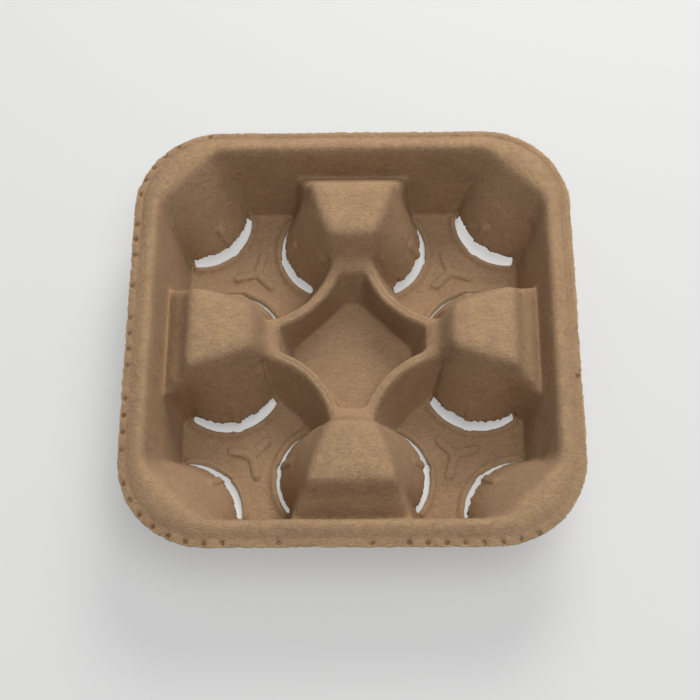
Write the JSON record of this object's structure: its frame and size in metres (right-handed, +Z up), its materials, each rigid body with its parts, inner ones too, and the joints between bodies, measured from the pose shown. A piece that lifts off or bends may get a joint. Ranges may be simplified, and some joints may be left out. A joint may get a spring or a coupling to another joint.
{
  "type": "cup carrier tray",
  "caption": "Square moulded-pulp cup carrier tray with cup cells at the corners, slotted cell floors, hollow towers and a centre pocket.",
  "frame": {"origin": "centre of the tray, on the surface that the cell floors rest on", "axes": "+Z up, out of the mouth of the cells; X and Y along the straight sides, -Y towards the user"},
  "size_m": [0.215, 0.215, 0.05],
  "materials": {
    "pulp": "matte, fibrous, unbleached"
  },
  "bodies": {
    "root": {"carrier_tray": "pulp"}
  },
  "joints": []
}
